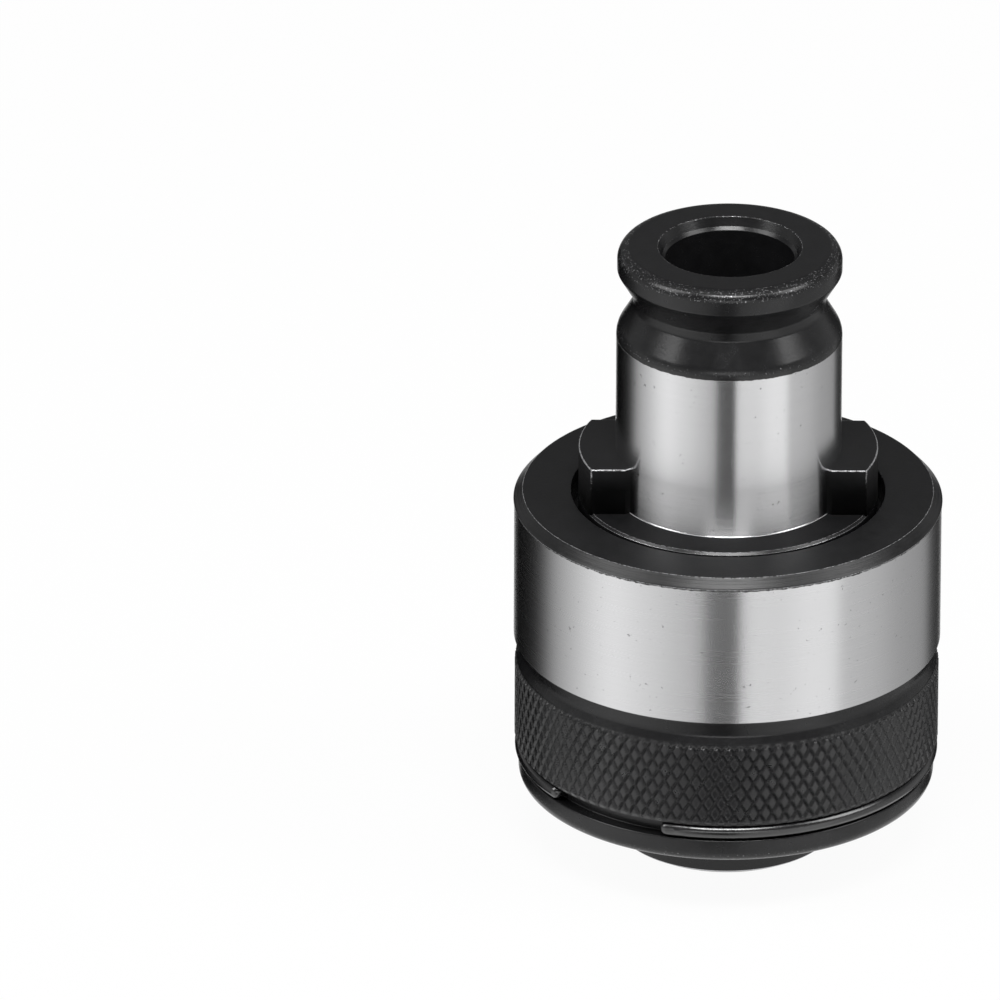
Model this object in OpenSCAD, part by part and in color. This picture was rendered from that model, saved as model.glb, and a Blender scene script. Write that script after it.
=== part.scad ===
// Quick-change tap adapter with an adjustable overload clutch.
// It stands on its release collar: z = 0 is the collar's front face, +Z points to the shank's end.

/* [Shank] */
// Ground diameter of the shank that the chuck takes
shank_d = 19; // [17:0.1:21]
// Length of the shank above the housing
shank_h = 22.5; // [20:0.1:26]
// Bore down the middle of the shank
shank_bore_d = 10.8; // [9.5:0.1:12]
// Chamfer at the mouth of that bore
shank_mouth = 0.65; // [0.3:0.05:1]
// Radius of the rounded rim at the shank's end
rim_round = 1.1; // [0.8:0.05:1.4]
// Depth of the ball-lock groove below the shank
groove_depth = 1.45; // [1:0.05:1.8]
// Length of the ball-lock groove's floor
groove_land = 0.7; // [0.3:0.05:1.5]
// Slope of the groove's flanks: radius per length
groove_slope = 0.6; // [0.5:0.05:1]
// Middle of the ball-lock groove below the shank's end
groove_drop = 4.72; // [4.4:0.05:6]
// Relief of the end rim under the ground diameter
shank_relief = 0.05; // [0.03:0.01:0.1]
// Taper of the root between the lugs
root_relief = 0.25; // [0.2:0.05:0.5]

/* [Drive lugs] */
// Diameter of the disc that carries the two lugs
lug_disc_d = 25.2; // [24:0.1:26]
// Width of each lug
lug_w = 10; // [8:0.1:11]
// Height of the lugs over the disc
lug_h = 4.1; // [3:0.1:5]
// Undercut of the shank above the lugs
lug_undercut = 0.2; // [0.1:0.05:0.4]
// Chamfer round the disc and the lug tops
lug_chamfer = 0.4; // [0.2:0.05:0.6]

/* [Housing] */
// Diameter of the ground band
housing_d = 36; // [33:0.1:40]
// Wall between the ground band and the thread of the nut
housing_wall = 2.4; // [2.2:0.05:2.8]
// Inside diameter, which the nut's thread runs in
housing_bore_d = housing_d - 2 * housing_wall;
// Thickness of the wall that holds the drive flange down
top_wall = 2.4; // [1.8:0.1:3.5]
// Gap round the lug disc in the top wall
disc_gap = 0.6; // [0.3:0.05:0.9]
// Width of the top edge's chamfer
top_chamfer = 0.8; // [0.4:0.05:1.2]
// Height of the top edge's chamfer
top_chamfer_h = 0.9; // [0.4:0.05:1.2]
// How far the black rim stands out over the ground band
rim_proud = 0.1; // [0.05:0.05:0.3]
// How far the plain neck lies under the ground band
neck_sunk = 0.25; // [0.1:0.05:0.5]
// Height of the plain neck
neck_h = 2.2; // [1.5:0.1:3]
// Height of the knurled grip
knurl_h = 7.5; // [6:0.1:9]
// Height of the rounded front rim
front_rim_h = 2.15; // [1.6:0.05:2.6]
// Chamfer at the mouth of the housing's bore
front_break = 0.6; // [0.3:0.05:0.7]
// Radius of the front rim's outer edge
front_round = 1.4; // [0.8:0.05:1.5]

/* [Lock ring] */
// Diameter of the spring wire
wire_d = 1.2; // [1:0.05:1.4]
// Height of the groove that the wire lies in
wire_groove_h = 1.45; // [1.4:0.05:2.4]
// Wall left between that groove and the housing's bore
wire_groove_wall = 0.95; // [0.8:0.05:1.2]
// Gap between the wire and the groove's floor
wire_gap = 0.12; // [0.05:0.01:0.3]
// Where the bent end goes through the housing, round +Z from +X
tang_angle = 253; // [0:1:359]
// Open part of the ring beside its bent end
ring_opening = 39; // [20:1:90]

/* [Collar and nut] */
// Diameter of the collar's grip
collar_d = 18.4; // [17:0.1:20]
// Width of the chamfer round its flat front face
collar_chamfer = 0.95; // [0.5:0.05:1.4]
// Diameter of that flat face
collar_face_d = collar_d - 2 * collar_chamfer;
// How far the shoulder stands out over the grip
collar_step = 0.5; // [0.3:0.05:0.7]
// Running gap between the collar's shoulder and the nut
collar_gap = 0.4; // [0.25:0.05:0.6]
// Bore of the nut, which the collar passes through
nut_bore_d = collar_d + 2 * (collar_step + collar_gap);
// Play of the nut's thread in the housing
thread_gap = 0.08; // [0.04:0.02:0.2]
// Width of the nut's ring
nut_ring = (housing_bore_d - nut_bore_d) / 2 - thread_gap;

/* [Adjusting nut] */
// Thickness of the nut
nut_h = 4.8; // [4.2:0.1:6.5]
// How far the nut's face lies inside the front rim
nut_recess = 0.4; // [0.2:0.05:0.8]
// Chamfer round the nut's face
nut_edge = 0.4; // [0.2:0.05:0.6]
// Number of slots for the lock ring
slot_count = 8; // [6:1:10]
// Width of each slot
slot_w = 1.5; // [1.45:0.05:1.8]
// Ring left between the slots and the nut's bore
slot_land = 1.42; // [1:0.02:2]
// Length of each slot from the nut's edge
slot_l = nut_ring - slot_land;
// Metal left on each side of the two spanner holes
spanner_land = 0.81; // [0.6:0.01:1.2]
// Diameter of the two spanner holes
spanner_d = nut_ring - 2 * spanner_land;
// Circle that the spanner holes lie on
spanner_pcd = nut_bore_d + nut_ring;

/* [Disc springs] */
// Thickness of the spring seat
seat_h = 1; // [0.8:0.1:1.6]
// Thickness of one disc spring
disc_t = 1; // [0.8:0.05:1.3]
// Cone height of one disc spring as fitted
disc_cone = 0.45; // [0.3:0.05:0.7]

/* [Thrust bearing] */
// Diameter of the bearing's balls
thrust_ball_d = 2.4; // [2:0.05:2.8]
// Number of balls
thrust_balls_n = 16; // [12:1:20]
// Thickness of each race
race_h = 1; // [0.8:0.1:1.4]
// Depth of the groove in each race
race_groove = 0.3; // [0.2:0.02:0.4]

/* [Overload clutch] */
// Diameter of the clutch balls
clutch_ball_d = 4; // [3.4:0.05:4.3]
// Number of clutch balls
clutch_balls_n = 6; // [3:1:6]
// Detents per clutch ball
detents_per_ball = 2; // [1:1:2]
// Circle that the clutch balls lie on
clutch_pcd = 22; // [21.4:0.1:22.4]
// Depth of the detents in the drive flange
detent_depth = 0.6; // [0.4:0.05:0.8]
// Depth of the ball pockets in the spindle's flange
pocket_depth = 0.8; // [0.5:0.05:1]
// Thickness of the drive flange
drive_flange_h = 3.1; // [2.4:0.1:4]
// Wall outside the balls in the spindle's flange
clutch_edge = 0.6; // [0.4:0.05:0.8]
// Thickness of the spindle's flange
spindle_flange_h = 2.6; // [2.2:0.1:3.6]

/* [Tap spindle] */
// Diameter of the tap's shank
tap_d = 6.3; // [6:0.1:6.6]
// Size of the tap's square across its flats
tap_square = 5; // [4.5:0.1:5.3]
// Extra radius at the socket's corners
socket_relief = 0.35; // [0.1:0.05:0.4]
// Lead-in at the mouth of the tap bore
tap_lead = 0.4; // [0.2:0.05:0.5]
// Passage from the socket to the shank's bore
passage_d = 4; // [3:0.1:4.4]
// Length of the square socket
square_h = 8; // [6:0.1:9]
// Wall of the spindle's nose round the tap
nose_wall = 2.44; // [2.3:0.02:2.56]
// Wall of the journal round the square socket
journal_wall = 1.7; // [1.4:0.05:2]
// Length of the journal inside the shank
journal_h = 7.4; // [6:0.1:10]
// Wall of the bronze bush
bush_wall = 1.35; // [1:0.05:1.5]

/* [Release collar] */
// Height of the chamfer round the collar's front face
collar_chamfer_h = 0.55; // [0.3:0.05:0.9]
// Radial room for the tap in the collar's mouth
mouth_gap = 0.3; // [0.1:0.05:0.5]
// Broken edge of that mouth
mouth_edge = 0.3; // [0.2:0.05:0.5]
// How far the collar's shoulder starts inside the nut
shoulder_drop = 0.2; // [0.1:0.05:0.6]
// How far the collar stands out of the housing
collar_out = 5.4; // [4.4:0.1:6.4]
// Thickness of its front wall
collar_wall = 2; // [1.4:0.1:2.6]
// How far the collar is pushed in to let the tap go
collar_travel = 2.5; // [2:0.1:2.7]
// Rise of the lock cone: radius per length
cone_slope = 0.16; // [0.14:0.01:0.18]
// Cone left below the balls when the collar is in
cone_margin = 0.1; // [0.1:0.05:0.3]
// Length of the collar's guide on the nose
guide_h = 2.5; // [1.8:0.1:3]
// Length of the skirt round the release spring
skirt_h = 2; // [1:0.1:2.4]
// Diameter of the lock balls
lock_ball_d = 3; // [2.8:0.05:3.2]
// Wire of the release spring
spring_wire_d = 0.8; // [0.6:0.05:0.9]
// Turns of the release spring
spring_turns = 3.5; // [3:0.25:4]
// Land of the nose below its retaining ring
nose_land = 0.6; // [0.5:0.05:0.9]
// Depth of the retaining ring's groove
clip_groove = 0.6; // [0.4:0.05:0.8]
// How far the retaining ring stands out of the nose
clip_out = 1.4; // [1.2:0.05:1.5]
// Height of the retaining ring on the nose
clip_h = 1; // [0.8:0.05:1.2]

/* [Clearances] */
// Radial clearance of a shaft that turns or slides in its bore
fit_gap = 0.04; // [0.02:0.01:0.08]
// Gap between pieces that only touch under load
seat_gap = 0.02; // [0.01:0.01:0.05]
// Gap round a ball in its pocket or groove
ball_gap = 0.05; // [0.03:0.01:0.08]
// Gap round pieces that pass one another freely
free_gap = 0.3; // [0.2:0.05:0.4]

/* [Hidden] */
$fn = 96;
eps = 0.01;
disc_springs_n = 4;
lock_balls_n = 3;
black = "#2b2b2e";
ground = "#b9bcc0";
bright = "#d2d4d6";
bronze = "#b08d4a";

// Radii, from the axis outwards
shank_r = shank_d / 2;
tap_r = tap_d / 2 + seat_gap / 2;
nose_r = tap_r + nose_wall;
socket_r = tap_d / 2 + socket_relief;
journal_r = socket_r + journal_wall;
bush_r = journal_r + fit_gap + bush_wall;
collar_r = collar_d / 2;
shoulder_r = collar_r + collar_step;
nut_bore_r = nut_bore_d / 2;
inner_r = nut_bore_r + free_gap;
clutch_r = clutch_pcd / 2;
spindle_flange_r = clutch_r + clutch_ball_d / 2 + clutch_edge;
housing_bore_r = housing_bore_d / 2;
loose_r = housing_bore_r - free_gap;
band_r = housing_d / 2;
rim_r = band_r + rim_proud;
neck_r = band_r - neck_sunk;
lug_disc_r = lug_disc_d / 2;
nut_r = nut_bore_r + nut_ring;
ball_track_r = (inner_r + loose_r) / 2;
wire_floor_r = housing_bore_r + wire_groove_wall;
wire_r = wire_floor_r + wire_gap + wire_d / 2;

// Heights of the clutch stack, from the housing's front rim to the shank's end
front_z = collar_out;
nut_face_z = front_z + nut_recess;
seat_z = nut_face_z + nut_h;
spring_z = seat_z + seat_h + seat_gap;
disc_h = disc_t + disc_cone;
race_low_z = spring_z + disc_springs_n * disc_h;
thrust_z = race_low_z + race_h - race_groove + thrust_ball_d / 2;
race_up_z = thrust_z + thrust_ball_d / 2 - race_groove;
flange_z = race_up_z + race_h;
flange_top_z = flange_z + spindle_flange_h;
clutch_z = flange_top_z - pocket_depth + clutch_ball_d / 2;
drive_z = clutch_z + clutch_ball_d / 2 - detent_depth;
shelf_z = drive_z + drive_flange_h;
top_z = shelf_z + top_wall;
shank_top_z = top_z + shank_h;
spindle_top_z = drive_z + journal_h;

// Heights on the outside of the housing
wire_groove_z = front_z + front_rim_h;
wire_z = wire_groove_z + wire_groove_h / 2;
knurl_z = wire_groove_z + wire_groove_h;
neck_z = knurl_z + knurl_h;
band_z = neck_z + neck_h;
chamfer_z = top_z - top_chamfer_h;

// Heights of the tap lock, from the collar's front wall inwards
nose_z = collar_wall + collar_travel + free_gap;
clip_z = nose_z + nose_land;
clip_top_z = clip_z + clip_h;
lock_z = clip_top_z + collar_travel + cone_margin;
square_z = flange_z;

// The lock cone keeps touching the balls as the collar slides: it widens to the front
lock_r = tap_r + seat_gap + lock_ball_d / 2;
cone_angle = atan(cone_slope);
cone_r = lock_r + (lock_ball_d / 2 + seat_gap) / cos(cone_angle);
guide_r = nose_r + fit_gap;
guide_z = lock_z + (cone_r - guide_r) / cone_slope;
cone_low_r = cone_r + (lock_z - clip_top_z) * cone_slope;
spring_floor_z = guide_z + guide_h;
skirt_z = spring_floor_z + skirt_h;
clip_r = nose_r + clip_out;

// A flat ring between two radii
module ring(outer, inner, z, h) {
    translate([0, 0, z]) difference() {
        cylinder(r = outer, h = h);
        translate([0, 0, -eps]) cylinder(r = inner, h = h + 2 * eps);
    }
}

// Children set at equal steps round the axis
module around(count, radius, start = 0) {
    for (i = [0 : count - 1]) rotate([0, 0, start + i * 360 / count]) translate([radius, 0, 0]) children();
}

// The disc between housing and shank with its two driving lugs, edges broken
module lug_disc() {
    difference() {
        rotate_extrude() polygon([
            [0, shelf_z - eps], [lug_disc_r, shelf_z - eps],
            [lug_disc_r, top_z + lug_h - lug_chamfer], [lug_disc_r - lug_chamfer, top_z + lug_h], [0, top_z + lug_h]
        ]);
        // The space on both sides of the lugs
        for (side = [0, 180]) rotate([0, 0, side]) translate([-lug_disc_d, lug_w / 2, top_z])
            cube([2 * lug_disc_d, lug_disc_d, lug_h + 1]);
        // The disc's own edge
        translate([0, 0, top_z - lug_chamfer]) difference() {
            cylinder(r = lug_disc_r + 1, h = lug_chamfer + eps);
            translate([0, 0, -eps])
                cylinder(r1 = lug_disc_r + eps, r2 = lug_disc_r - lug_chamfer, h = lug_chamfer + 3 * eps);
            translate([-lug_disc_d, -lug_w / 2, -1]) cube([2 * lug_disc_d, lug_w, lug_chamfer + 2]);
        }
    }
}

module drive_shank() {
    rim_r0 = shank_r - shank_relief - rim_round;
    neck_top = shank_top_z - rim_round;
    groove_z = shank_top_z - groove_drop;
    groove_floor_r = shank_r - groove_depth;
    groove_half = groove_land / 2 + (groove_depth + 1) / groove_slope;
    ground_z = top_z + lug_h + lug_undercut;
    color(black) difference() {
        union() {
            // Root, land up to the rim and ground length
            translate([0, 0, shelf_z]) cylinder(r1 = shank_r - root_relief, r2 = shank_r, h = ground_z - shelf_z);
            translate([0, 0, ground_z]) cylinder(r = shank_r - shank_relief, h = neck_top - ground_z);
            translate([0, 0, ground_z]) cylinder(r = shank_r, h = groove_z - ground_z);
            // Rounded rim at the end
            translate([0, 0, neck_top - eps]) cylinder(r = rim_r0, h = rim_round + eps);
            rotate_extrude() translate([rim_r0, shank_top_z - rim_round]) circle(r = rim_round);
            lug_disc();
            // Drive flange under the housing's top wall
            translate([0, 0, drive_z]) cylinder(r = loose_r, h = drive_flange_h);
        }
        // Ball-lock groove
        rotate_extrude() translate([0, groove_z]) polygon([
            [groove_floor_r, groove_land / 2], [groove_floor_r, -groove_land / 2],
            [shank_r + 1, -groove_half], [shank_r + 1, groove_half]
        ]);
        // Bore with its chamfered mouth, and the seat of the bush
        translate([0, 0, spindle_top_z]) cylinder(d = shank_bore_d, h = shank_h + top_wall + drive_flange_h);
        translate([0, 0, shank_top_z - shank_mouth])
            cylinder(r1 = shank_bore_d / 2, r2 = shank_bore_d / 2 + shank_mouth + eps, h = shank_mouth + eps);
        translate([0, 0, drive_z - eps]) cylinder(r = bush_r, h = journal_h + free_gap + eps);
        // Detents for the clutch balls
        around(clutch_balls_n * detents_per_ball, clutch_r) translate([0, 0, clutch_z])
            sphere(d = clutch_ball_d + 2 * ball_gap);
    }
}

module clutch_housing() {
    edge_r = band_r - top_chamfer + rim_proud;
    lip_r = housing_bore_r + front_break;
    color(ground) difference() {
        union() {
            rotate_extrude() polygon([
                [0, front_z + front_round], [neck_r, front_z + front_round], [neck_r, knurl_z],
                [band_r - rim_proud, knurl_z], [band_r - rim_proud, neck_z], [neck_r, neck_z],
                [neck_r, band_z], [band_r, band_z], [band_r, chamfer_z],
                [rim_r, chamfer_z], [edge_r, top_z], [0, top_z]
            ]);
            // Rounded front rim
            translate([0, 0, front_z]) cylinder(r = neck_r - front_round, h = front_round + eps);
            rotate_extrude() translate([neck_r - front_round, front_z + front_round]) circle(r = front_round);
        }
        // Room for the clutch, with a broken edge at the front
        translate([0, 0, front_z - 1]) cylinder(r = housing_bore_r, h = shelf_z - front_z + 1);
        translate([0, 0, front_z - eps])
            cylinder(r1 = lip_r + eps, r2 = housing_bore_r, h = lip_r - housing_bore_r + eps);
        // Groove of the lock ring
        ring(rim_r + 1, wire_floor_r, wire_groove_z, wire_groove_h);
        // Hole that the lug disc looks out of
        translate([0, 0, shelf_z - 1]) cylinder(r = lug_disc_r + disc_gap, h = top_wall + 2);
        // Hole for the lock ring's bent end
        rotate([0, 0, tang_angle]) translate([housing_bore_r - 1, 0, wire_z]) rotate([0, 90, 0])
            cylinder(d = slot_w, h = band_r - housing_bore_r + 2);
    }
}

module spindle_bush() {
    color(bronze) ring(bush_r, journal_r + fit_gap, drive_z, journal_h);
}

module lock_ring() {
    tang_end_r = nut_r - slot_l / 2;
    sweep = 360 - ring_opening;
    color(bright) rotate([0, 0, tang_angle]) translate([0, 0, wire_z]) {
        rotate_extrude(angle = sweep) translate([wire_r, 0]) circle(d = wire_d);
        translate([wire_r, 0, 0]) sphere(d = wire_d);
        translate([tang_end_r, 0, 0]) rotate([0, 90, 0]) cylinder(d = wire_d, h = wire_r - tang_end_r);
        rotate([0, 0, sweep]) translate([wire_r, 0, 0]) sphere(d = wire_d);
    }
}

// One conical washer; every second one lies the other way up
module disc_spring(index) {
    low = index % 2 == 0 ? 0 : disc_cone;
    high = disc_cone - low;
    z = spring_z + index * disc_h;
    color(black) rotate_extrude() polygon([
        [inner_r, z + high], [loose_r, z + low], [loose_r, z + low + disc_t], [inner_r, z + high + disc_t]
    ]);
}

module race_groove_cut() {
    rotate_extrude() translate([ball_track_r, thrust_z]) circle(d = thrust_ball_d + 2 * ball_gap);
}

module thrust_race_lower() {
    color(bright) difference() {
        ring(loose_r, inner_r, race_low_z, race_h);
        race_groove_cut();
    }
}

module thrust_race_upper() {
    color(bright) difference() {
        ring(loose_r, inner_r, race_up_z, race_h);
        race_groove_cut();
    }
}

module thrust_balls() {
    color(bright) around(thrust_balls_n, ball_track_r) translate([0, 0, thrust_z]) sphere(d = thrust_ball_d);
}

module thrust_cage() {
    cage_h = thrust_ball_d / 4;
    color(bronze) difference() {
        ring(loose_r - 2 * ball_gap, inner_r + 2 * ball_gap, thrust_z - cage_h / 2, cage_h);
        around(thrust_balls_n, ball_track_r) translate([0, 0, thrust_z - cage_h])
            cylinder(d = thrust_ball_d + 2 * ball_gap, h = 2 * cage_h);
    }
}

module tap_spindle() {
    hub_r = clutch_r - clutch_ball_d / 2 - 3 * free_gap;
    color(black) difference() {
        union() {
            translate([0, 0, nose_z]) cylinder(r = nose_r, h = flange_z - nose_z + eps);
            translate([0, 0, flange_z]) cylinder(r = spindle_flange_r, h = spindle_flange_h);
            translate([0, 0, flange_top_z - eps]) cylinder(r = hub_r, h = drive_z - flange_top_z - free_gap + eps);
            translate([0, 0, flange_top_z]) cylinder(r = journal_r, h = spindle_top_z - flange_top_z);
        }
        // Tap bore with its lead-in, the square socket and the passage above it
        translate([0, 0, nose_z - eps]) cylinder(r = tap_r, h = square_z - nose_z + 2 * eps);
        translate([0, 0, nose_z - eps]) cylinder(r1 = tap_r + tap_lead, r2 = tap_r, h = tap_lead);
        intersection() {
            translate([-tap_square / 2, -tap_square / 2, square_z]) cube([tap_square, tap_square, square_h]);
            translate([0, 0, square_z]) cylinder(r = socket_r, h = square_h);
        }
        translate([0, 0, square_z]) cylinder(d = passage_d, h = spindle_top_z);
        // Groove for the retaining ring
        ring(nose_r + 1, nose_r - clip_groove, clip_z, clip_h);
        // Holes for the lock balls, with a lip on the bore's side
        around(lock_balls_n, lock_r - free_gap, 90) translate([0, 0, lock_z]) {
            sphere(d = lock_ball_d + 2 * fit_gap);
            rotate([0, 90, 0]) cylinder(d = lock_ball_d + 2 * fit_gap, h = nose_r);
        }
        // Pockets for the clutch balls
        around(clutch_balls_n, clutch_r) translate([0, 0, clutch_z]) sphere(d = clutch_ball_d + 2 * ball_gap);
    }
}

module clutch_balls() {
    color(bright) around(clutch_balls_n, clutch_r) translate([0, 0, clutch_z]) sphere(d = clutch_ball_d);
}

module ball_cage() {
    cage_z = flange_top_z + free_gap;
    color(bronze) difference() {
        ring(spindle_flange_r, clutch_r - clutch_ball_d / 2 - 2 * free_gap, cage_z, drive_z - free_gap - cage_z);
        around(clutch_balls_n, clutch_r) translate([0, 0, cage_z - 1])
            cylinder(d = clutch_ball_d + 2 * ball_gap, h = 4);
    }
}

module collar_circlip() {
    clip_opening = 40;
    color(bright) translate([0, 0, clip_z]) rotate([0, 0, clip_opening / 2])
        rotate_extrude(angle = 360 - clip_opening) translate([nose_r - clip_groove, 0])
            square([clip_out + clip_groove, clip_h]);
}

// Points of a round wire along the release spring: flat end turns, rising between them
spring_steps = 20;
spring_sides = 8;
spring_coil_r = nose_r + 2 * free_gap + spring_wire_d / 2;
spring_low_z = spring_floor_z + seat_gap + spring_wire_d / 2;
spring_high_z = flange_z - seat_gap - spring_wire_d / 2;
flat_turns = 0.6;
function spring_at(turn) = spring_low_z + (spring_high_z - spring_low_z)
    * min(1, max(0, (turn - flat_turns) / (spring_turns - 2 * flat_turns)));

module release_spring() {
    rings = round(spring_turns * spring_steps);
    points = [for (i = [0 : rings]) let (turn = i / spring_steps) for (j = [0 : spring_sides - 1])
        let (a = 360 * turn, b = 360 * j / spring_sides, r = spring_coil_r + spring_wire_d / 2 * cos(b))
        [r * cos(a), r * sin(a), spring_at(turn) + spring_wire_d / 2 * sin(b)]];
    sides = [for (i = [0 : rings - 1]) for (j = [0 : spring_sides - 1]) let (k = (j + 1) % spring_sides)
        [i * spring_sides + j, i * spring_sides + k, (i + 1) * spring_sides + k, (i + 1) * spring_sides + j]];
    start = [for (j = [spring_sides - 1 : -1 : 0]) j];
    end = [for (j = [0 : spring_sides - 1]) rings * spring_sides + j];
    color(bright) polyhedron(points, concat(sides, [start, end]));
}

module spring_seat() {
    color(black) ring(loose_r, inner_r, seat_z, seat_h);
}

module adjusting_nut() {
    slot_depth = wire_z + slot_w / 2 - nut_face_z + free_gap;
    color(black) difference() {
        rotate_extrude() polygon([
            [nut_bore_r, nut_face_z], [nut_r - nut_edge, nut_face_z], [nut_r, nut_face_z + nut_edge],
            [nut_r, seat_z], [nut_bore_r, seat_z]
        ]);
        around(slot_count, nut_r - slot_l, tang_angle) translate([0, -slot_w / 2, nut_face_z - 1])
            cube([slot_l + 1, slot_w, slot_depth + 1]);
        around(2, spanner_pcd / 2, tang_angle + 180 / slot_count) translate([0, 0, nut_face_z - 1])
            cylinder(d = spanner_d, h = nut_h + 2);
    }
}

module release_collar() {
    shoulder_z = nut_face_z + shoulder_drop;
    cavity_r = clip_r + free_gap;
    mouth_r = tap_r + mouth_gap;
    color(black) difference() {
        rotate_extrude() polygon([
            [0, 0], [collar_face_d / 2, 0], [collar_r, collar_chamfer_h], [collar_r, shoulder_z],
            [shoulder_r, shoulder_z + collar_step], [shoulder_r, skirt_z], [0, skirt_z]
        ]);
        // Hole for the tap with a broken edge
        translate([0, 0, -1]) cylinder(r = mouth_r, h = collar_wall + 2);
        translate([0, 0, -eps]) cylinder(r1 = mouth_r + mouth_edge, r2 = mouth_r, h = mouth_edge);
        // Cavity round the retaining ring, then the lock cone, the guide and the spring's room
        translate([0, 0, collar_wall]) cylinder(r = cavity_r, h = clip_top_z - collar_wall);
        translate([0, 0, clip_top_z - eps])
            cylinder(r1 = cone_low_r, r2 = guide_r, h = guide_z - clip_top_z + eps);
        translate([0, 0, guide_z - eps]) cylinder(r = guide_r, h = guide_h + 2 * eps);
        translate([0, 0, spring_floor_z]) cylinder(r = spring_coil_r + spring_wire_d / 2 + free_gap, h = skirt_h + 1);
    }
}

module lock_ball(index) {
    color(bright) rotate([0, 0, 90 + index * 360 / lock_balls_n]) translate([lock_r, 0, lock_z])
        sphere(d = lock_ball_d);
}

drive_shank();
clutch_housing();
spindle_bush();
lock_ring();
disc_spring(0);  // disc_spring_1
disc_spring(1);  // disc_spring_2
disc_spring(2);  // disc_spring_3
disc_spring(3);  // disc_spring_4
thrust_race_lower();
tap_spindle();
clutch_balls();
ball_cage();
thrust_race_upper();
collar_circlip();
release_spring();
thrust_cage();
thrust_balls();
spring_seat();
adjusting_nut();
release_collar();
lock_ball(0);  // lock_ball_1
lock_ball(1);  // lock_ball_2
lock_ball(2);  // lock_ball_3
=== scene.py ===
# Quick-change tap adapter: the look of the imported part, its studio and its camera.
import math

import bmesh
import bpy
from mathutils import Matrix, Vector


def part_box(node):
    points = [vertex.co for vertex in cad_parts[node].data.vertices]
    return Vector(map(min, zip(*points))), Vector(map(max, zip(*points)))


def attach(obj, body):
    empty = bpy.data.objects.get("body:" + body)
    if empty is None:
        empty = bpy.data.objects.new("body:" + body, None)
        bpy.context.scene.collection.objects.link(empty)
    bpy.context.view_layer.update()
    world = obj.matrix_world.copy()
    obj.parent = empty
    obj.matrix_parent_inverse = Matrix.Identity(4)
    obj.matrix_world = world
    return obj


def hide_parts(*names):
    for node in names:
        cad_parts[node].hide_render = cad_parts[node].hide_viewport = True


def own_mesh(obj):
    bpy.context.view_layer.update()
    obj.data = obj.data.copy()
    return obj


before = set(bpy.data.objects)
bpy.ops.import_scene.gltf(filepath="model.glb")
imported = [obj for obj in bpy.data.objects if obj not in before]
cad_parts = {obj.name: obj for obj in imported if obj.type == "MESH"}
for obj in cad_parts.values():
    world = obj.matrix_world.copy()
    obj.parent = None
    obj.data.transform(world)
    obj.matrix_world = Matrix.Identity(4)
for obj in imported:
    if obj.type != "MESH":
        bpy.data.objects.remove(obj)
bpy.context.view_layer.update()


# Studio floor and lights
# A white table, a soft light overhead in front and one at each side.
# Metal close above the table mirrors it; further up it mirrors a ring of pale and dark cards far away.
MM = 0.001


class Sock:
    """A socket of a node tree, so that shader sums read as sums."""

    def __init__(self, tree, socket):
        self.tree = tree
        self.socket = socket

    def node(self, kind, inputs=(), **settings):
        """A new node with its settings and its inputs, each a number, a colour or a Sock."""
        made = self.tree.nodes.new(kind)
        for name, value in settings.items():
            setattr(made, name, value)
        for key, value in dict(inputs).items():
            if isinstance(value, Sock):
                self.tree.links.new(value.socket, made.inputs[key])
            else:
                made.inputs[key].default_value = value
        return made

    def out(self, kind, inputs=(), output=0, **settings):
        return Sock(self.tree, self.node(kind, inputs, **settings).outputs[output])

    def math(self, operation, *values):
        return self.out("ShaderNodeMath", dict(enumerate(values)), operation=operation)

    def __add__(self, other):
        return self.math("ADD", self, other)

    def __radd__(self, other):
        return self.math("ADD", other, self)

    def __sub__(self, other):
        return self.math("SUBTRACT", self, other)

    def __rsub__(self, other):
        return self.math("SUBTRACT", other, self)

    def __mul__(self, other):
        return self.math("MULTIPLY", self, other)

    def __rmul__(self, other):
        return self.math("MULTIPLY", other, self)

    def __truediv__(self, other):
        return self.math("DIVIDE", self, other)

    def __rtruediv__(self, other):
        return self.math("DIVIDE", other, self)

    def clamp(self):
        """The value kept between 0 and 1."""
        return self.math("MINIMUM", self.math("MAXIMUM", self, 0.0), 1.0)

    def ramp(self, stops):
        """Grey levels by this value, from pairs of place and level."""
        made = self.node("ShaderNodeValToRGB", {0: self})
        elements = made.color_ramp.elements
        while len(elements) < len(stops):
            elements.new(0.5)
        for element, (place, level) in zip(elements, sorted(stops)):
            element.position = place
            element.color = (level, level, level, 1)
        return Sock(self.tree, made.outputs[0])


def new_material(name):
    """An empty node material and a Sock that builds in its tree."""
    material = bpy.data.materials.new(name)
    material.use_nodes = True
    material.node_tree.nodes.clear()
    return material, Sock(material.node_tree, None)


def close_material(build, shader):
    output = build.node("ShaderNodeOutputMaterial")
    build.tree.links.new(shader.socket, output.inputs["Surface"])


def new_object(name, mesh, *materials):
    made = bpy.data.objects.new(name, mesh)
    for material in materials:
        made.data.materials.append(material)
    bpy.context.scene.collection.objects.link(made)
    return made


floor_half = 2.0
# How near, in mm, the table has to be for metal to mirror it
floor_glow = 13.0
middle_height = 0.027
floor_mesh = bpy.data.meshes.new("floor")
floor_corners = [(-floor_half, -floor_half, 0), (floor_half, -floor_half, 0),
                 (floor_half, floor_half, 0), (-floor_half, floor_half, 0)]
floor_mesh.from_pydata(floor_corners, [], [(0, 1, 2, 3)])
floor_paint, build = new_material("floor_white")
floor_diffuse = build.out("ShaderNodeBsdfDiffuse", {"Color": (0.86, 0.86, 0.86, 1)})
floor_white = build.out("ShaderNodeEmission", {"Color": (1, 1, 1, 1), "Strength": 1.0})
floor_clear = build.out("ShaderNodeBsdfTransparent")
floor_path = build.node("ShaderNodeLightPath")
floor_seen = build.math("MAXIMUM", Sock(build.tree, floor_path.outputs["Is Camera Ray"]),
                        Sock(build.tree, floor_path.outputs["Is Transmission Ray"]))
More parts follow.
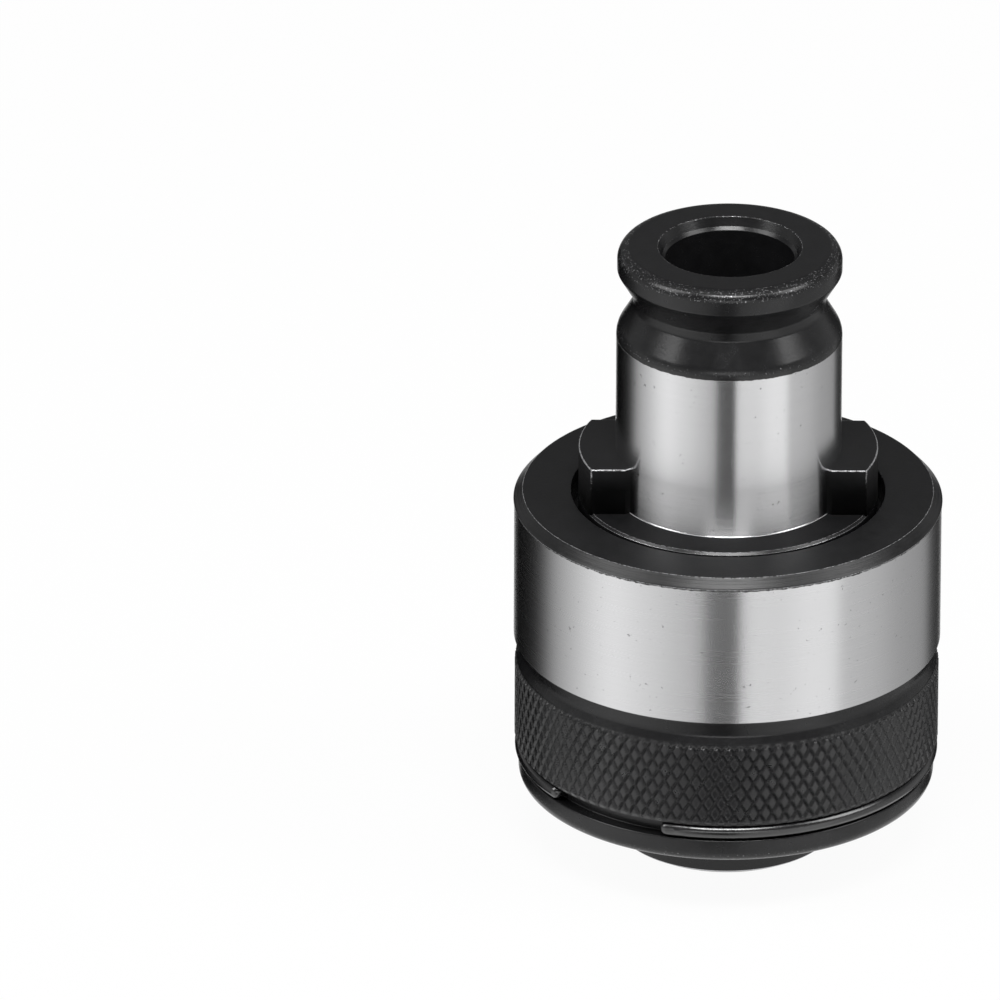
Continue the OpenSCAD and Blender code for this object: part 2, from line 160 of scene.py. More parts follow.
floor_front = build.out("ShaderNodeMixShader", {0: floor_seen * 0.95, 1: floor_diffuse, 2: floor_white})
floor_back = build.out("ShaderNodeNewGeometry", output="Backfacing")
floor_mirrored = Sock(build.tree, floor_path.outputs["Is Glossy Ray"])
floor_far = build.math("GREATER_THAN", Sock(build.tree, floor_path.outputs["Ray Length"]), floor_glow * MM)
floor_near = build.out("ShaderNodeMixShader", {0: floor_far, 1: floor_white, 2: floor_clear})
floor_front = build.out("ShaderNodeMixShader", {0: floor_mirrored, 1: floor_front, 2: floor_near})
close_material(build, build.out("ShaderNodeMixShader", {0: floor_back, 1: floor_front, 2: floor_clear}))
floor = new_object("floor", floor_mesh, floor_paint)


def soft_light(name, azimuth, elevation, distance, width, height, power):
    """A rectangular area light that looks at the object; azimuth to the right of the front."""
    data = bpy.data.lights.new(name, "AREA")
    data.shape = "RECTANGLE"
    data.size = width
    data.size_y = height
    data.energy = power
    made = bpy.data.objects.new(name, data)
    a = math.radians(azimuth)
    e = math.radians(elevation)
    aim = Vector((0, 0, middle_height))
    back = Vector((math.sin(a) * math.cos(e), -math.cos(a) * math.cos(e), math.sin(e)))
    made.location = aim + distance * back
    made.rotation_euler = back.to_track_quat("Z", "Y").to_euler()
    bpy.context.scene.collection.objects.link(made)
    return made


soft_light("overhead_front", 0, 62, 0.9, 0.46, 0.22, 5.5)
soft_light("side_left", -75, 42, 0.9, 0.4, 0.5, 3)
soft_light("side_right", 75, 42, 0.9, 0.4, 0.5, 3)

# Cards below the horizon by side: degrees to the right of the front, and level
card_levels = [
    (-180, 1.0), (-169, 1.0), (-165, 0.0), (-144, 0.0), (-126, 0.02), (-117, 0.12), (-106, 0.48),
    (-89, 0.77), (-74, 1.06), (-64, 1.13), (-37, 0.89), (-23, 0.69), (-14, 0.46), (-11, 0.11),
    (0, 0.03), (5.5, 0.03), (7, 0.70), (12, 0.89), (29, 0.98), (43, 1.13), (60, 1.13), (64, 0.69),
    (89, 0.61), (106, 0.48), (123, 0.42), (135, 0.40), (138, 0.06), (152, 0.03), (165, 0.05),
    (169, 1.0), (180, 1.0)]
# The room above the horizon by the sine of the height angle, and level
room_levels = [(0.0, 0.5), (0.18, 0.45), (0.42, 0.16), (0.6, 0.12), (1.0, 0.12)]
# A low window in front: half its width in turns, its top by the sine of the height angle, and level
window_side = 0.075
window_top = 0.32
window_level = 3.0
world = bpy.data.worlds.new("studio")
bpy.context.scene.world = world
world.use_nodes = True
world.node_tree.nodes.clear()
build = Sock(world.node_tree, None)
path = build.node("ShaderNodeLightPath")
seen = build.math("MAXIMUM", Sock(build.tree, path.outputs["Is Camera Ray"]),
                  Sock(build.tree, path.outputs["Is Transmission Ray"]))
mirrored = Sock(build.tree, path.outputs["Is Glossy Ray"])
direction = build.node("ShaderNodeSeparateXYZ", {0: build.out("ShaderNodeTexCoord", output="Generated")})
east, north, rise = [Sock(build.tree, socket) for socket in direction.outputs]
turn = build.math("ARCTAN2", east, north * -1.0) / (2 * math.pi) + 0.5
cards = turn.ramp([((a + 180) / 360, level / 2) for a, level in card_levels]) * 2.0
room = rise.ramp(room_levels)
above = (rise * 12.0 - 0.6).clamp()
beside = build.math("ABSOLUTE", turn - 0.5)
ahead = ((window_side - beside) * 30.0).clamp()
low = ((window_top - rise) * 12.0).clamp()
risen = (rise * 12.0 - 1.2).clamp()
window = ahead * low * risen * window_level
studio = build.out("ShaderNodeBackground", {"Color": cards * (1.0 - above) + room * above + window})
white = build.out("ShaderNodeBackground", {"Color": (1, 1, 1, 1)})
fill = build.out("ShaderNodeBackground", {"Color": (0.1, 0.1, 0.1, 1)})
unseen = build.out("ShaderNodeMixShader", {0: mirrored, 1: fill, 2: studio})
sky = build.out("ShaderNodeMixShader", {0: seen, 1: unseen, 2: white})
build.tree.links.new(sky.socket, build.node("ShaderNodeOutputWorld").inputs["Surface"])


# Camera
# A long lens far away, 25.5 degrees above the table and rolled by a fifth of a degree.
# The object stands to the right of the picture's middle.
camera_distance = 2.0
camera_right = -0.01919
camera_up = 0.00344
camera_tilt = math.radians(25.5)
camera_roll = math.radians(0.2)
camera_data = bpy.data.cameras.new("camera")
camera_data.lens = 854.6
camera_data.sensor_width = 36
camera = bpy.data.objects.new("camera", camera_data)
bpy.context.scene.collection.objects.link(camera)
look = Vector((0, math.cos(camera_tilt), -math.sin(camera_tilt)))
right = Vector((1, 0, 0))
up = right.cross(look)
target = Vector((0, 0, middle_height)) + camera_right * right + camera_up * up
axes = Matrix((right, up, -look)).transposed().to_4x4()
roll = Matrix.Rotation(camera_roll, 4, "Z")
camera.matrix_world = Matrix.Translation(target - camera_distance * look) @ axes @ roll
bpy.context.scene.camera = camera
bpy.context.scene.view_settings.view_transform = "Standard"


# Drive shank
# One turned and hardened steel piece: drive flange, lug disc, ground shank and ball-lock groove.
# Blackened all over, then ground bright on the cylinder that the chuck holds.
def black_oxide(name, wear_level, rough_low, gloss, rings=0.0):
    """Blackened steel: faint mottling, rings left by the tool, and bare metal where wear is high."""
    material, build = new_material(name)
    place = build.out("ShaderNodeTexCoord", output="Object")
    cloud = build.out("ShaderNodeTexNoise", {"Vector": place, "Scale": 900.0, "Detail": 4.0}, output="Fac")
    grain = build.out("ShaderNodeTexNoise", {"Vector": place, "Scale": 6000.0, "Detail": 2.0}, output="Fac")
    wear = build.out("ShaderNodeAttribute", output="Fac", attribute_name="wear")
    broken = build.out("ShaderNodeTexNoise", {"Vector": place, "Scale": 6500.0, "Detail": 3.0}, output="Fac")
    bare = ((wear * wear_level + broken - 1.0) * 4.0).clamp()
    colour = build.node("ShaderNodeMix", {0: bare}, data_type="RGBA")
    tint = cloud * 0.008 + 0.005
    dark = build.node("ShaderNodeCombineColor", {0: tint, 1: tint, 2: tint * 1.06})
    build.tree.links.new(dark.outputs[0], colour.inputs[6])
    colour.inputs[7].default_value = (0.52, 0.52, 0.53, 1)
    rough = cloud * 0.12 + grain * 0.06 + rough_low
    flat = build.out("ShaderNodeVectorMath", {0: place, 1: (1, 1, 0)}, operation="MULTIPLY")
    radius = build.out("ShaderNodeVectorMath", {0: flat}, output="Value", operation="LENGTH")
    tool = build.out("ShaderNodeTexNoise", {"W": radius, "Scale": 5000.0, "Detail": 2.0}, output="Fac",
                     noise_dimensions="1D")
    bump = build.out("ShaderNodeBump", {
        "Height": grain + tool * rings, "Strength": 0.25, "Distance": 0.00003}, output="Normal")
    shader = build.out("ShaderNodeBsdfPrincipled", {
        "Base Color": Sock(build.tree, colour.outputs[2]), "Metallic": bare * 0.9, "Roughness": rough,
        "Normal": bump, "Specular IOR Level": gloss})
    close_material(build, shader)
    return material


def ground_steel(name, level, rough, high, ragged, foot):
    """Ground steel up to a height in mm, where the black skin above it begins in a ragged line.

    Below the height foot the wheel has left it a little dished, which lifts its highlights."""
    material, build = new_material(name)
    place = build.out("ShaderNodeTexCoord", output="Object")
    height = Sock(build.tree, build.node("ShaderNodeSeparateXYZ", {0: place}).outputs[2])
    stretched = build.out("ShaderNodeMapping", {"Vector": place, "Scale": (60.0, 60.0, 9000.0)})
    rings = build.out("ShaderNodeTexNoise", {"Vector": stretched, "Scale": 1.0, "Detail": 3.0}, output="Fac")
    specks = build.out("ShaderNodeTexNoise", {"Vector": place, "Scale": 2600.0, "Detail": 3.0}, output="Fac")
    shift = (specks - 0.5) * (ragged * MM)
    bare = ((high * MM - height + shift) / (0.05 * MM)).clamp()
    pits = ((specks - 0.68) * 14.0).clamp()
    tint = (level - 0.03 + rings * 0.06) * (1.0 - 0.45 * pits) * bare + (1.0 - bare) * 0.012
    colour = build.out("ShaderNodeCombineColor", {0: tint, 1: tint, 2: tint * 1.01})
    depth = build.math("MAXIMUM", foot * MM - height, 0.0)
    relief = depth * depth * 26.0 + rings * 0.000002
    bump = build.out("ShaderNodeBump", {"Height": relief, "Strength": 1.0, "Distance": 1.0}, output="Normal")
    shader = build.out("ShaderNodeBsdfPrincipled", {
        "Base Color": colour, "Metallic": bare, "Roughness": rings * 0.06 + rough, "Normal": bump,
        "Anisotropic": 0.9, "Anisotropic Rotation": 0.25})
    close_material(build, shader)
    return material


def soften(corners):
    """Rows (radius, height, normal, wear, material) of a closed outline whose corners are rounded.

    Each corner is (radius, height, rounding, material of the side after it, wear on the rounding), in mm,
    and the outline runs with the metal on its left."""
    rows = []
    count = len(corners)
    for i, (r, z, fillet, zone, wear) in enumerate(corners):
        here = Vector((r, z))
        before = (Vector(corners[i - 1][:2]) - here).normalized()
        after = (Vector(corners[(i + 1) % count][:2]) - here).normalized()
        half = before.angle(after) / 2
        side_before = (Vector(corners[i - 1][:2]) - here).length
        side_after = (Vector(corners[(i + 1) % count][:2]) - here).length
        cut = min(fillet / math.tan(half), 0.8 * side_before, 0.8 * side_after)
        radius = cut * math.tan(half)
        middle = here + (before + after).normalized() * radius / math.sin(half)
        start = here + before * cut
        n0 = Vector((-before.y, before.x))
        n1 = Vector((after.y, -after.x))
        first = math.atan2(n0.y, n0.x)
        swing = (math.atan2(n1.y, n1.x) - first + math.pi) % (2 * math.pi) - math.pi
        steps = max(2, min(12, math.ceil(abs(swing) / math.radians(12))))
        convex = (start - middle).dot(n0) > 0
        previous_zone = corners[i - 1][3]
        for k in range(steps + 1):
            turned = first + swing * k / steps
            normal = Vector((math.cos(turned), math.sin(turned)))
            spot = middle + normal * (radius if convex else -radius)
            inner = 0 < k < steps
            worn = wear if inner else 0.25 * wear
            side = zone if k >= steps // 2 else previous_zone
            rows.append((spot.x, spot.y, normal, worn, side))
    return rows


def lathe(name, rows, steps, *materials):
    """A solid of revolution from softened rows, with exact normals and a wear attribute."""
    points = []
    normals = []
    wears = []
    for r, z, normal, wear, _ in rows:
        for k in range(steps):
            a = 2 * math.pi * k / steps
            points.append((r * MM * math.cos(a), r * MM * math.sin(a), z * MM))
            normals.append((normal.x * math.cos(a), normal.x * math.sin(a), normal.y))
            wears.append(wear)
    faces = []
    zones = []
    for i, row in enumerate(rows):
        j = (i + 1) % len(rows)
        for k in range(steps):
            m = (k + 1) % steps
            faces.append((i * steps + k, i * steps + m, j * steps + m, j * steps + k))
            zones.append(row[4])
    mesh = bpy.data.meshes.new(name)
    mesh.from_pydata(points, [], faces)
    mesh.attributes.new("wear", "FLOAT", "POINT").data.foreach_set("value", wears)
    mesh.polygons.foreach_set("material_index", zones)
    mesh.polygons.foreach_set("use_smooth", [True] * len(faces))
    mesh.normals_split_custom_set_from_vertices(normals)
    return mesh


oxide = black_oxide("black_oxide", 1.25, 0.16, 0.42)
matt_oxide = black_oxide("black_oxide_faces", 1.25, 0.46, 0.22)
disc_oxide = black_oxide("black_oxide_disc", 1.25, 0.5, 0.06)
shank_steel = ground_steel("ground_shank", 0.68, 0.2, 46.42, 0.16, 36.2)
shank_r = 9.5
root_r = 9.49
root_z = 31.92
ground_z = 36.22
disc_r = 12.6
flange_r = 15.3
groove_r = 8.05
end_rim_r = 9.45
end_z = 54.42
shank_bore_r = 5.4
bush_seat_r = 6.59
shank_corners = [
    (bush_seat_r, 26.42, 0.2, 0, 0), (flange_r, 26.42, 0.2, 0, 0), (flange_r, 29.52, 0.2, 0, 0),
    (disc_r, 29.52, 0.1, 0, 0), (disc_r, 31.72, 0.08, 0, 0.7), (disc_r - 0.2, root_z, 0.08, 3, 0.5),
    (root_r, root_z, 0.1, 1, 0.9), (shank_r, ground_z, 0.5, 1, 0), (shank_r, 46.93, 2.0, 0, 0.3),
    (groove_r, 49.35, 0.6, 0, 0), (groove_r, 50.05, 0.6, 0, 0), (end_rim_r, 52.39, 0.5, 0, 0),
    (end_rim_r, end_z, 1.1, 2, 0.33), (6.05, end_z, 0.1, 0, 0.4), (5.65, 53.67, 0.1, 0, 0.4),
    (shank_bore_r, 53.4, 0.1, 0, 0), (shank_bore_r, 34.12, 0.1, 0, 0), (bush_seat_r, 34.12, 0.1, 0, 0)]
shank_mesh = lathe("drive_shank", soften(shank_corners), 256)


lug_half = 5.0
lug_low = 31.6
lug_high = 36.02
lug_bevel = 0.18
lug_wear = 0.55
lug_arc_steps = 16
lug_inner = [(7.6, 4.3), (8.7, lug_half)]


def lug_solid(angle):
    """One drive lug as a bevelled solid: points, faces, normals and wear."""
    work = bmesh.new()
    outline = [(x, -y) for x, y in lug_inner]
    limit = math.asin(lug_half / disc_r)
    for k in range(lug_arc_steps + 1):
        a = -limit + 2 * limit * k / lug_arc_steps
        outline.append((disc_r * math.cos(a), disc_r * math.sin(a)))
    outline += reversed(lug_inner)
    base = [work.verts.new((x * MM, y * MM, lug_low * MM)) for x, y in outline]
    face = work.faces.new(base)
    lifted = bmesh.ops.extrude_face_region(work, geom=[face])
    tops = [v for v in lifted["geom"] if isinstance(v, bmesh.types.BMVert)]
    for v in tops:
        v.co.z = lug_high * MM
    work.normal_update()
    bmesh.ops.recalc_face_normals(work, faces=work.faces)
    upper = [e for e in work.edges if max(v.co.z for v in e.verts) > (lug_high - 1) * MM]
    chosen = [e for e in upper if e.calc_face_angle(0) > 0.6]
    rounded = bmesh.ops.bevel(
        work, geom=chosen, offset=lug_bevel * MM, segments=3, profile=0.6, affect="EDGES")
    bevels = set(rounded["faces"])
    worn = {v for v in work.verts if all(f in bevels for f in v.link_faces)}
    bmesh.ops.rotate(work, verts=work.verts, cent=(0, 0, 0), matrix=Matrix.Rotation(angle, 3, "Z"))
    work.verts.index_update()
    work.normal_update()
    points = [tuple(v.co) for v in work.verts]
    faces = [tuple(v.index for v in f.verts) for f in work.faces]
    normals = []
    for v in work.verts:
        total = Vector((0, 0, 0))
        for f in v.link_faces:
            total += f.normal * f.calc_area()
        normals.append(tuple(total.normalized()))
    wears = [lug_wear if v in worn else 0.0 for v in work.verts]
    work.free()
    return points, faces, normals, wears


def join_solids(name, mesh, solids):
    """One mesh from a lathed one and further solids, keeping normals, wear and zones."""
    points = [tuple(v.co) for v in mesh.vertices]
    faces = [tuple(p.vertices) for p in mesh.polygons]
    zones = [p.material_index for p in mesh.polygons]
    wears = [d.value for d in mesh.attributes["wear"].data]
    normals = [None] * len(points)
    for p in mesh.polygons:
        for loop in p.loop_indices:
            normals[mesh.loops[loop].vertex_index] = tuple(mesh.corner_normals[loop].vector)
    for more_points, more_faces, more_normals, more_wears in solids:
        first = len(points)
        points += more_points
        faces += [tuple(first + i for i in f) for f in more_faces]
        zones += [2] * len(more_faces)
        wears += more_wears
        normals += more_normals
    joined = bpy.data.meshes.new(name)
    joined.from_pydata(points, [], faces)
    joined.attributes.new("wear", "FLOAT", "POINT").data.foreach_set("value", wears)
    joined.polygons.foreach_set("material_index", zones)
    joined.polygons.foreach_set("use_smooth", [True] * len(faces))
    joined.normals_split_custom_set_from_vertices(normals)
    return joined


shank_solid = join_solids("drive_shank", shank_mesh, [lug_solid(0), lug_solid(math.pi)])
shank = new_object("shank_with_lugs", shank_solid, oxide, shank_steel, matt_oxide, disc_oxide)
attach(shank, "driver")
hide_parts("drive_shank")


# Clutch housing
# A turned steel sleeve, blackened; the band is then ground bright and the chamfer above it left black.
# Its front rim is rounded, a groove takes the lock ring, and its top wall holds the shank's flange down.
housing_bore_r = 15.6
rim_r = 17.6
wire_groove_r = 16.55
knurl_root_r = 17.52
band_r = 18.0
lid_bore_r = 13.2
lid_z = 31.92
housing_corners = [
    (housing_bore_r, 6.0, 0.1, 0, 0), (16.2, 5.4, 0.08, 0, 1), (17.5, 5.4, 1.02, 0, 0.3),
    (rim_r, 7.55, 0.15, 0, 0.15), (wire_groove_r, 7.55, 0.1, 0, 0), (wire_groove_r, 9.0, 0.1, 0, 0),
    (17.62, 9.0, 0.1, 0, 0.3), (knurl_root_r, 9.12, 0.05, 0, 0), (knurl_root_r, 16.3, 0.05, 0, 0),
    (17.7, 16.5, 0.1, 0, 0.1), (17.3, 17.3, 0.9, 0, 0), (17.45, 18.35, 0.6, 0, 0), (rim_r, 18.68, 0.1, 0, 0),
    (band_r, 18.7, 0.05, 1, 0), (band_r, 31.02, 0.04, 0, 0), (18.1, 31.06, 0.05, 3, 0.5),
    (17.3, lid_z, 0.10, 2, 0.5), (lid_bore_r, lid_z, 0.12, 0, 0.3), (lid_bore_r, 29.52, 0.1, 0, 0),
    (housing_bore_r, 29.52, 0.1, 0, 0)]
band_steel = ground_steel("ground_band", 0.66, 0.235, 30.97, 0.3, 18.7)
chamfer_oxide = black_oxide("black_oxide_chamfer", 1.25, 0.26, 0.44, 5.0)
housing = new_object("housing_sleeve", lathe("housing_sleeve", soften(housing_corners), 256),
                     oxide, band_steel, matt_oxide, chamfer_oxide)
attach(housing, "driver")
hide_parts("clutch_housing")


# Diamond knurl
# The grip of the housing, rolled into the sleeve below the band; blackened, with a few crests worn bright.
# Two sets of slanted grooves cross on a sheet that is bent round the sleeve.
knurl_low = 9.0
knurl_high = 16.5
knurl_r = 17.9
knurl_depth = 0.2
knurl_lines = 104.0
knurl_slope = 540.0
knurl_end = 0.35
knurl_steepness = 2.6
knurl_wear = 0.28
knurl_around = 1041
knurl_rows = 82
knurl_oxide = black_oxide("black_oxide_knurl", 1.25, 0.16, 0.6)


def named_input(tree, name, kind, value):
    made = tree.interface.new_socket(name, in_out="INPUT", socket_type=kind)
    if value is not None:
        made.default_value = value
    return made


def evaluated_mesh(name, tree, values):
    """The mesh that a node tree makes with these inputs, set by the sockets' identifiers."""
    holder = bpy.data.objects.new(name + "_holder", bpy.data.meshes.new(name + "_holder"))
    bpy.context.scene.collection.objects.link(holder)
    modifier = holder.modifiers.new("nodes", "NODES")
    modifier.node_group = tree
    for item in tree.interface.items_tree:
        if item.in_out == "INPUT" and item.name in values:
            modifier[item.identifier] = values[item.name]
    graph = bpy.context.evaluated_depsgraph_get()
    mesh = bpy.data.meshes.new_from_object(holder.evaluated_get(graph), depsgraph=graph)
    mesh.name = name
    holder.modifiers.remove(modifier)
    bpy.data.objects.remove(holder)
    return mesh


knurl_tree = bpy.data.node_groups.new("diamond_knurl", "GeometryNodeTree")
knurl_tree.interface.new_socket("Mesh", in_out="OUTPUT", socket_type="NodeSocketGeometry")
for socket_name in ("Radius", "Depth", "Low", "High", "Lines", "Slope"):
    named_input(knurl_tree, socket_name, "NodeSocketFloat", 0.0)
named_input(knurl_tree, "Around", "NodeSocketInt", 8)
named_input(knurl_tree, "Rows", "NodeSocketInt", 8)
named_input(knurl_tree, "Material", "NodeSocketMaterial", None)
build = Sock(knurl_tree, None)
given = build.node("NodeGroupInput")
value = {socket.name: Sock(knurl_tree, socket) for socket in given.outputs}
sheet = build.out("GeometryNodeMeshGrid", {
    "Size X": 2 * math.pi, "Size Y": 1.0, "Vertices X": value["Around"], "Vertices Y": value["Rows"]})
flat = build.node("ShaderNodeSeparateXYZ", {0: build.out("GeometryNodeInputPosition")})
turn = Sock(knurl_tree, flat.outputs[0]) + math.pi
rise = Sock(knurl_tree, flat.outputs[1]) + 0.5
span = value["High"] - value["Low"]
height = value["Low"] + rise * span
along = turn * value["Lines"] / (2 * math.pi)
across = height * value["Slope"]
one_way = build.math("PINGPONG", along + across, 0.5) * 2.0
other_way = build.math("PINGPONG", along - across, 0.5) * 2.0
crest = build.math("MINIMUM", build.math("MINIMUM", one_way, other_way) * knurl_steepness, 1.0)
edge = build.math("MINIMUM", build.math("MINIMUM", rise, 1.0 - rise) * span / (knurl_end * MM), 1.0)
reach = value["Radius"] - value["Depth"] * (1.0 - crest * edge)
spot = build.out("ShaderNodeCombineXYZ", {
    0: reach * build.math("COSINE", turn), 1: reach * build.math("SINE", turn), 2: height})
bent = build.out("GeometryNodeSetPosition", {"Geometry": sheet, "Position": spot})
closed = build.out("GeometryNodeMergeByDistance", {"Geometry": bent, "Distance": 0.000001})
real = build.out("GeometryNodeRealizeInstances", {"Geometry": closed})
worn = build.out("GeometryNodeStoreNamedAttribute", {
    "Geometry": real, "Name": "wear", "Value": crest * edge * knurl_wear}, data_type="FLOAT", domain="POINT")
painted = build.out("GeometryNodeSetMaterial", {"Geometry": worn, "Material": value["Material"]})
build.tree.links.new(painted.socket, build.node("NodeGroupOutput").inputs[0])
knurl_mesh = evaluated_mesh("housing_knurl", knurl_tree, {
    "Radius": knurl_r * MM, "Depth": knurl_depth * MM, "Low": knurl_low * MM, "High": knurl_high * MM,
    "Lines": knurl_lines, "Slope": knurl_slope, "Around": knurl_around, "Rows": knurl_rows,
    "Material": knurl_oxide})
knurl = new_object("housing_knurl", knurl_mesh)
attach(knurl, "driver")


# Release collar
# The turned collar that the object stands on, pushed in to free the tap.
# Blackened, with a flat face, a chamfer and a broken edge at its mouth.
collar_r = 9.2
step_r = 9.7
collar_top = 17.12
tap_hole_r = 3.46
nose_bore_r = 7.3
spring_bore_r = 7.7
cone_high_r = 5.64
cone_low_r = 6.635
collar_corners = [
    (tap_hole_r + 0.3, 0.0, 0.06, 0, 0.8), (8.25, 0.0, 0.12, 0, 1), (collar_r, 0.55, 0.12, 0, 1),
    (collar_r, 6.0, 0.1, 0, 0), (step_r, 6.5, 0.1, 0, 0), (step_r, collar_top, 0.15, 0, 0),
    (spring_bore_r, collar_top, 0.15, 0, 0), (spring_bore_r, 15.12, 0.1, 0, 0),
    (cone_high_r, 15.12, 0.1, 0, 0), (cone_high_r, 12.62, 0.1, 0, 0), (cone_low_r, 6.4, 0.05, 0, 0),
    (nose_bore_r, 6.4, 0.1, 0, 0), (nose_bore_r, 2.0, 0.1, 0, 0), (tap_hole_r, 2.0, 0.1, 0, 0),
    (tap_hole_r, 0.3, 0.06, 0, 0)]
collar_oxide = black_oxide("black_oxide_collar", 1.25, 0.16, 0.42, 4.0)
collar = new_object("collar_sleeve", lathe("collar_sleeve", soften(collar_corners), 192), collar_oxide)
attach(collar, "collar")
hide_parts("release_collar")


# Adjusting nut
# The slotted ring in the housing's mouth, turned and milled from steel and blackened; it sets the clutch.
# Its solid is kept and its sharp edges are broken.
def dress(paint, *names):
    """Give solids of the frame their material, and return the last one."""
    for name in names:
        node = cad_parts[name]
        node.data.materials.clear()
        node.data.materials.append(paint)
    return node


nut = dress(oxide, "adjusting_nut")
nut_weld = nut.modifiers.new("weld", "WELD")
nut_weld.merge_threshold = 0.001 * MM
nut_edges = nut.modifiers.new("edges", "BEVEL")
nut_edges.width = 0.12 * MM
nut_edges.segments = 2
nut_edges.limit_method = "ANGLE"
nut_edges.angle_limit = math.radians(40)


# Lock ring
# An open ring of round spring wire, blackened, in the housing's groove.
# Its bent end goes through the housing into a slot of the nut, so that the setting stays.
dress(black_oxide("black_oxide_wire", 1.25, 0.12, 1.0), "lock_ring")


# Release spring
# A coil of drawn steel wire with closed ends, which pushes the collar out again.
# A round section follows a coil.
def plain_steel(name, level, rough, tone=(1, 1, 1)):
    """Turned or drawn metal with fine scratches."""
    material, build = new_material(name)
    place = build.out("ShaderNodeTexCoord", output="Object")
    fine = build.out("ShaderNodeTexNoise", {"Vector": place, "Scale": 4000.0, "Detail": 3.0}, output="Fac")
    cloud = build.out("ShaderNodeTexNoise", {"Vector": place, "Scale": 500.0, "Detail": 3.0}, output="Fac")
    tint = level - 0.08 + cloud * 0.16
    colour = build.out("ShaderNodeCombineColor", {0: tint * tone[0], 1: tint * tone[1], 2: tint * tone[2]})
    bump = build.out("ShaderNodeBump", {
        "Height": fine, "Strength": 0.15, "Distance": 0.00002}, output="Normal")
    shader = build.out("ShaderNodeBsdfPrincipled", {
        "Base Color": colour, "Metallic": 1.0, "Roughness": fine * 0.1 + rough, "Normal": bump})
    close_material(build, shader)
    return material


wire_steel = plain_steel("spring_wire", 0.42, 0.22)
spring_low, spring_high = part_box("release_spring")
spring_wire_r = 0.4 * MM
spring_turns = 3.5
spring_flat_turns = 0.6
spring_steps = 141
coil_tree = bpy.data.node_groups.new("wire_coil", "GeometryNodeTree")
coil_tree.interface.new_socket("Mesh", in_out="OUTPUT", socket_type="NodeSocketGeometry")
for socket_name in ("Coil Radius", "Wire Radius", "Low", "High", "Turns", "Flat Turns"):
    named_input(coil_tree, socket_name, "NodeSocketFloat", 0.0)
named_input(coil_tree, "Steps", "NodeSocketInt", 8)
named_input(coil_tree, "Material", "NodeSocketMaterial", None)
build = Sock(coil_tree, None)
given = build.node("NodeGroupInput")
value = {socket.name: Sock(coil_tree, socket) for socket in given.outputs}
line = build.out("GeometryNodeMeshLine", {"Count": value["Steps"]})
turned = build.out("GeometryNodeInputIndex") / (value["Steps"] - 1.0) * value["Turns"]
climb = ((turned - value["Flat Turns"]) / (value["Turns"] - 2.0 * value["Flat Turns"])).clamp()
angle = turned * (2 * math.pi)
spot = build.out("ShaderNodeCombineXYZ", {
    0: value["Coil Radius"] * build.math("COSINE", angle),
    1: value["Coil Radius"] * build.math("SINE", angle),
    2: value["Low"] + climb * (value["High"] - value["Low"])})
laid = build.out("GeometryNodeSetPosition", {"Geometry": line, "Position": spot})
coil = build.out("GeometryNodeMeshToCurve", {"Mesh": laid})
section = build.out("GeometryNodeCurvePrimitiveCircle", {"Resolution": 16, "Radius": value["Wire Radius"]})
swept = build.out("GeometryNodeCurveToMesh", {"Curve": coil, "Profile Curve": section, "Fill Caps": True})
real = build.out("GeometryNodeRealizeInstances", {"Geometry": swept})
painted = build.out("GeometryNodeSetMaterial", {"Geometry": real, "Material": value["Material"]})
build.tree.links.new(painted.socket, build.node("NodeGroupOutput").inputs[0])
spring_mesh = evaluated_mesh("coil_spring", coil_tree, {
    "Coil Radius": spring_high.x - spring_wire_r, "Wire Radius": spring_wire_r,
    "Low": spring_low.z + spring_wire_r, "High": spring_high.z - spring_wire_r, "Turns": spring_turns,
    "Flat Turns": spring_flat_turns, "Steps": spring_steps, "Material": wire_steel})
coil_spring = new_object("coil_spring", spring_mesh)
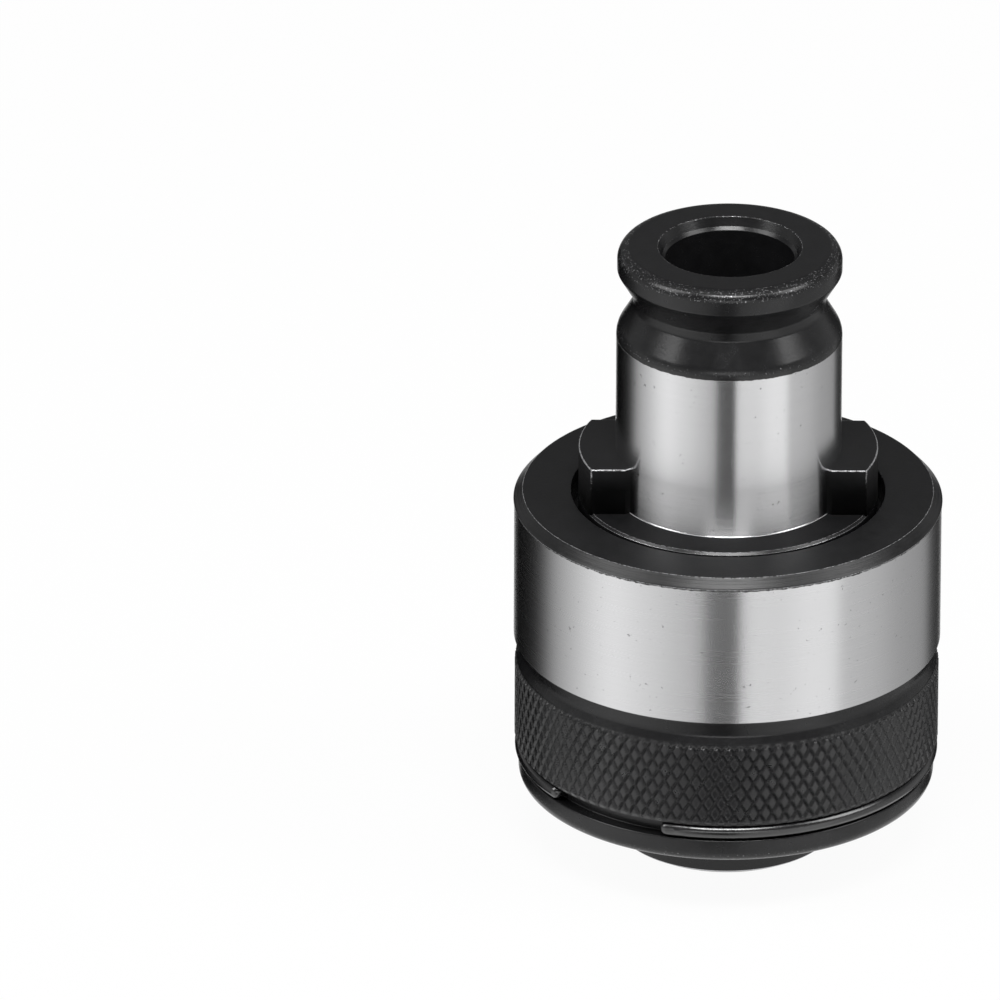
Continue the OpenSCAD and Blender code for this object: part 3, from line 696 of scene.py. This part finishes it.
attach(coil_spring, "spindle")
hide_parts("release_spring")
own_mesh(coil_spring)


# Disc springs
# Four conical washers of phosphated spring steel, every second one the other way up, which load the clutch.
# Each is a turned ring with rounded edges.
disc_steel = plain_steel("spring_steel", 0.16, 0.35)
disc_bore = 10.4
disc_thickness = 1.0
disc_edge = 0.15
for index in range(4):
    node_name = f"disc_spring_{index + 1}"
    disc_low, disc_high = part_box(node_name)
    bottom = disc_low.z / MM
    cone = (disc_high.z - disc_low.z) / MM - disc_thickness
    outer_z = bottom if index % 2 == 0 else bottom + cone
    inner_z = bottom + cone if index % 2 == 0 else bottom
    washer_r = disc_high.x / MM
    washer_corners = [
        (disc_bore, inner_z, disc_edge, 0, 0), (washer_r, outer_z, disc_edge, 0, 0),
        (washer_r, outer_z + disc_thickness, disc_edge, 0, 0),
        (disc_bore, inner_z + disc_thickness, disc_edge, 0, 0)]
    washer_name = f"washer_{index + 1}"
    disc = new_object(washer_name, lathe(washer_name, soften(washer_corners), 128), disc_steel)
    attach(disc, "driver")
    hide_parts(node_name)
    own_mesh(disc)


# Tap spindle and spring seat
# Turned from tool steel and blackened; the spindle turns in the bush, and the seat lies on the nut.
# Their solids are kept.
dress(oxide, "tap_spindle", "spring_seat")


# Collar circlip
# A ring of spring steel snapped into the spindle's groove, where it stops the collar.
# Its solid is kept.
dress(disc_steel, "collar_circlip")


# Balls and races
# Hardened and polished bearing steel: clutch balls, lock balls, thrust balls and the two thrust races.
# Their solids are kept.
bearing_steel = plain_steel("bearing_steel", 0.68, 0.12)
dress(bearing_steel, "clutch_balls", "thrust_balls", "thrust_race_lower", "thrust_race_upper")
dress(bearing_steel, "lock_ball_1", "lock_ball_2", "lock_ball_3")


# Cages and bush
# Turned and drilled from bearing bronze: the bush in the shank and the cages that space the balls.
# Their solids are kept.
bronze = plain_steel("bronze", 0.5, 0.3, (1.0, 0.68, 0.3))
dress(bronze, "spindle_bush", "ball_cage", "thrust_cage")
